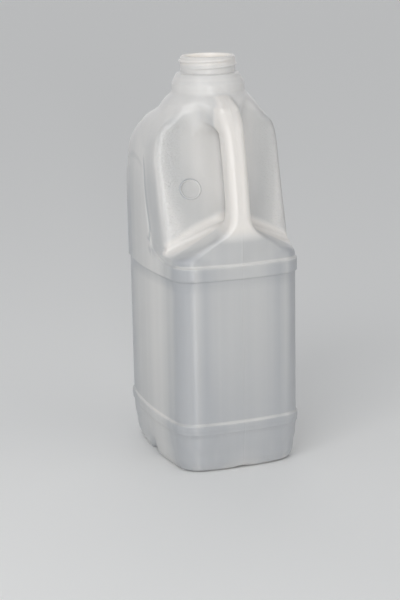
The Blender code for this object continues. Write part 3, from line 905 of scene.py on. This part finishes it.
def graininess(x, y, z):
    """The mould's pebbled skin shows beside the rear edge of each grip panel."""
    if z < 150 or y > 0:
        return 0.0
    inside_edge = follow(EDGE_X, z) - abs(x)
    return between(z, (150, 165), (228, 238)) * between(inside_edge, (-1.5, 1), (6, 22))


def note_plastic(data):
    """Keep the milkiness with its painted light and shade, and the grain, at every point, for the
    material.
    """
    for name, value_at in (("milkiness_and_light", milkiness_and_light), ("graininess", graininess)):
        values = [value_at(*measured(vertex.co)) for vertex in data.vertices]
        data.attributes.new(name, "FLOAT", "POINT").data.foreach_set("value", values)


def milky_plastic():
    """Blown plastic: tinted by its thickness and by painted light and shade, satin, finely grained,
    faintly lit inside.
    """
    material = bpy.data.materials.new("milky_plastic")
    material.use_nodes = True
    nodes, links = material.node_tree.nodes, material.node_tree.links
    surface = nodes["Principled BSDF"]
    place = nodes.new("ShaderNodeTexCoord").outputs["Object"]

    def noted(name):
        node = nodes.new("ShaderNodeAttribute")
        node.attribute_name = name
        return node.outputs["Fac"]

    def noise(scale, detail, stretch):
        mapping = nodes.new("ShaderNodeMapping")
        mapping.inputs["Scale"].default_value = stretch
        links.new(place, mapping.inputs["Vector"])
        texture = nodes.new("ShaderNodeTexNoise")
        texture.inputs["Scale"].default_value = scale
        texture.inputs["Detail"].default_value = detail
        links.new(mapping.outputs["Vector"], texture.inputs["Vector"])
        return texture.outputs["Fac"]

    def maths(operation, first, second, third=None):
        node = nodes.new("ShaderNodeMath")
        node.operation = operation
        for socket, value in zip(node.inputs, (first, second, third)):
            if isinstance(value, (int, float)):
                socket.default_value = value
            elif value is not None:
                links.new(value, socket)
        return node.outputs["Value"]

    streaks = noise(*STREAKS)
    uneven = maths("ADD", maths("MULTIPLY_ADD", noise(*CLOUDS), CLOUD_SHARE, -CLOUD_SHARE / 2),
                   maths("MULTIPLY_ADD", streaks, STREAK_SHARE, -STREAK_SHARE / 2))
    milky_and_lit = maths("ADD", noted("milkiness_and_light"), uneven)
    tint = nodes.new("ShaderNodeValToRGB")
    for thickness, _ in PLASTIC_COLOURS[1:-1]:
        tint.color_ramp.elements.new(thickness)
    for stop, (_, colour) in zip(tint.color_ramp.elements, PLASTIC_COLOURS):
        stop.color = (*colour, 1)
    links.new(milky_and_lit, tint.inputs["Fac"])
    links.new(tint.outputs["Color"], surface.inputs["Base Color"])

    satin = maths("MULTIPLY_ADD", noise(*GLOSS_PATCHES), ROUGHNESS_SPREAD, ROUGHNESS_LOW)
    links.new(satin, surface.inputs["Roughness"])

    pebbles = maths("MULTIPLY", noise(*PEBBLES), noted("graininess"))
    die_lines = maths("MULTIPLY", streaks, DIE_LINE_RELIEF)
    relief = maths("ADD", maths("MULTIPLY_ADD", noise(*FINE_SKIN), SKIN_RELIEF, die_lines),
                   maths("MULTIPLY", pebbles, PEBBLE_RELIEF))
    bump = nodes.new("ShaderNodeBump")
    bump.inputs["Strength"].default_value = 0.6
    bump.inputs["Distance"].default_value = 0.00025
    links.new(relief, bump.inputs["Height"])
    links.new(bump.outputs["Normal"], surface.inputs["Normal"])

    glow = nodes.new("ShaderNodeMix")
    glow.data_type = "RGBA"
    links.new(noted("inside"), glow.inputs["Factor"])
    glow.inputs["A"].default_value = (0, 0, 0, 1)
    glow.inputs["B"].default_value = (*INSIDE_GLOW, 1)
    links.new(glow.outputs["Result"], surface.inputs["Emission Color"])
    surface.inputs["Emission Strength"].default_value = 1.0

    surface.inputs["Specular IOR Level"].default_value = 0.85
    surface.inputs["Anisotropic"].default_value = 0.8
    surface.inputs["Anisotropic Rotation"].default_value = 0.25
    surface.inputs["Subsurface Weight"].default_value = 0.5
    surface.inputs["Subsurface Radius"].default_value = (1.0, 0.95, 0.9)
    surface.inputs["Subsurface Scale"].default_value = 0.0025
    return material


def plain_surface(name, colour, roughness):
    """One colour with one roughness, for the studio's own surfaces."""
    material = bpy.data.materials.new(name)
    material.use_nodes = True
    surface = material.node_tree.nodes["Principled BSDF"]
    surface.inputs["Base Color"].default_value = (*colour, 1)
    surface.inputs["Roughness"].default_value = roughness
    return material


def lay_floor():
    """A plain pale floor under the bottle."""
    mesh = bmesh.new()
    bmesh.ops.create_grid(mesh, x_segments=2, y_segments=2, size=FLOOR_HALF_SIZE)
    data = bpy.data.meshes.new("floor")
    mesh.to_mesh(data)
    mesh.free()
    floor = bpy.data.objects.new("floor", data)
    bpy.context.scene.collection.objects.link(floor)
    data.materials.append(plain_surface("pale_floor", FLOOR_COLOUR, FLOOR_ROUGHNESS))


def hang_light(name, left, height, softness, strength, colour):
    """A distant soft lamp, at an angle left of the front and at a height above the floor,
    both in degrees."""
    lamp = bpy.data.lights.new(name, "SUN")
    lamp.angle = radians(softness)
    lamp.energy = strength
    lamp.color = colour
    light = bpy.data.objects.new(name, lamp)
    bpy.context.scene.collection.objects.link(light)
    flat = cos(radians(height))
    towards = Vector((-sin(radians(left)) * flat, -cos(radians(left)) * flat,
                      sin(radians(height))))
    light.location = towards
    light.rotation_euler = towards.to_track_quat("Z", "Y").to_euler()


def stand_softbox(left, distance, height, width, power):
    """A square softbox that faces the bottle's middle."""
    lamp = bpy.data.lights.new("softbox", "AREA")
    lamp.size = width
    lamp.energy = power
    light = bpy.data.objects.new("softbox", lamp)
    bpy.context.scene.collection.objects.link(light)
    place = Vector((-sin(radians(left)) * distance, -cos(radians(left)) * distance, height))
    light.location = place
    away = place - Vector(SOFTBOX_AIM)
    light.rotation_euler = away.to_track_quat("Z", "Y").to_euler()


def light_studio():
    """Distant soft lamps, one softbox and an even sky."""
    for lamp in LAMPS:
        hang_light(*lamp)
    stand_softbox(*SOFTBOX)
    world = bpy.data.worlds.new("studio")
    bpy.context.scene.world = world
    world.use_nodes = True
    sky = world.node_tree.nodes["Background"]
    sky.inputs["Color"].default_value = (*WORLD_COLOUR, 1)
    sky.inputs["Strength"].default_value = WORLD_STRENGTH
    bpy.context.scene.view_settings.view_transform = "Standard"


def set_camera():
    """The photograph's viewpoint, from in front of the bottle and to the left of its handle."""
    lens = bpy.data.cameras.new("photo_view")
    lens.lens = CAMERA_LENS
    lens.sensor_width = 36
    camera = bpy.data.objects.new("photo_view", lens)
    bpy.context.scene.collection.objects.link(camera)
    right, up = Vector(CAMERA_RIGHT), Vector(CAMERA_UP)
    turn = Matrix((right, up, right.cross(up))).transposed()
    camera.matrix_world = Matrix.Translation(CAMERA_PLACE) @ turn.to_4x4()
    bpy.context.scene.camera = camera


bottle = make_bottle()
bottle.data.materials.append(milky_plastic())
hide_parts("bottle")
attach(bottle, "root")

lay_floor()
light_studio()
set_camera()
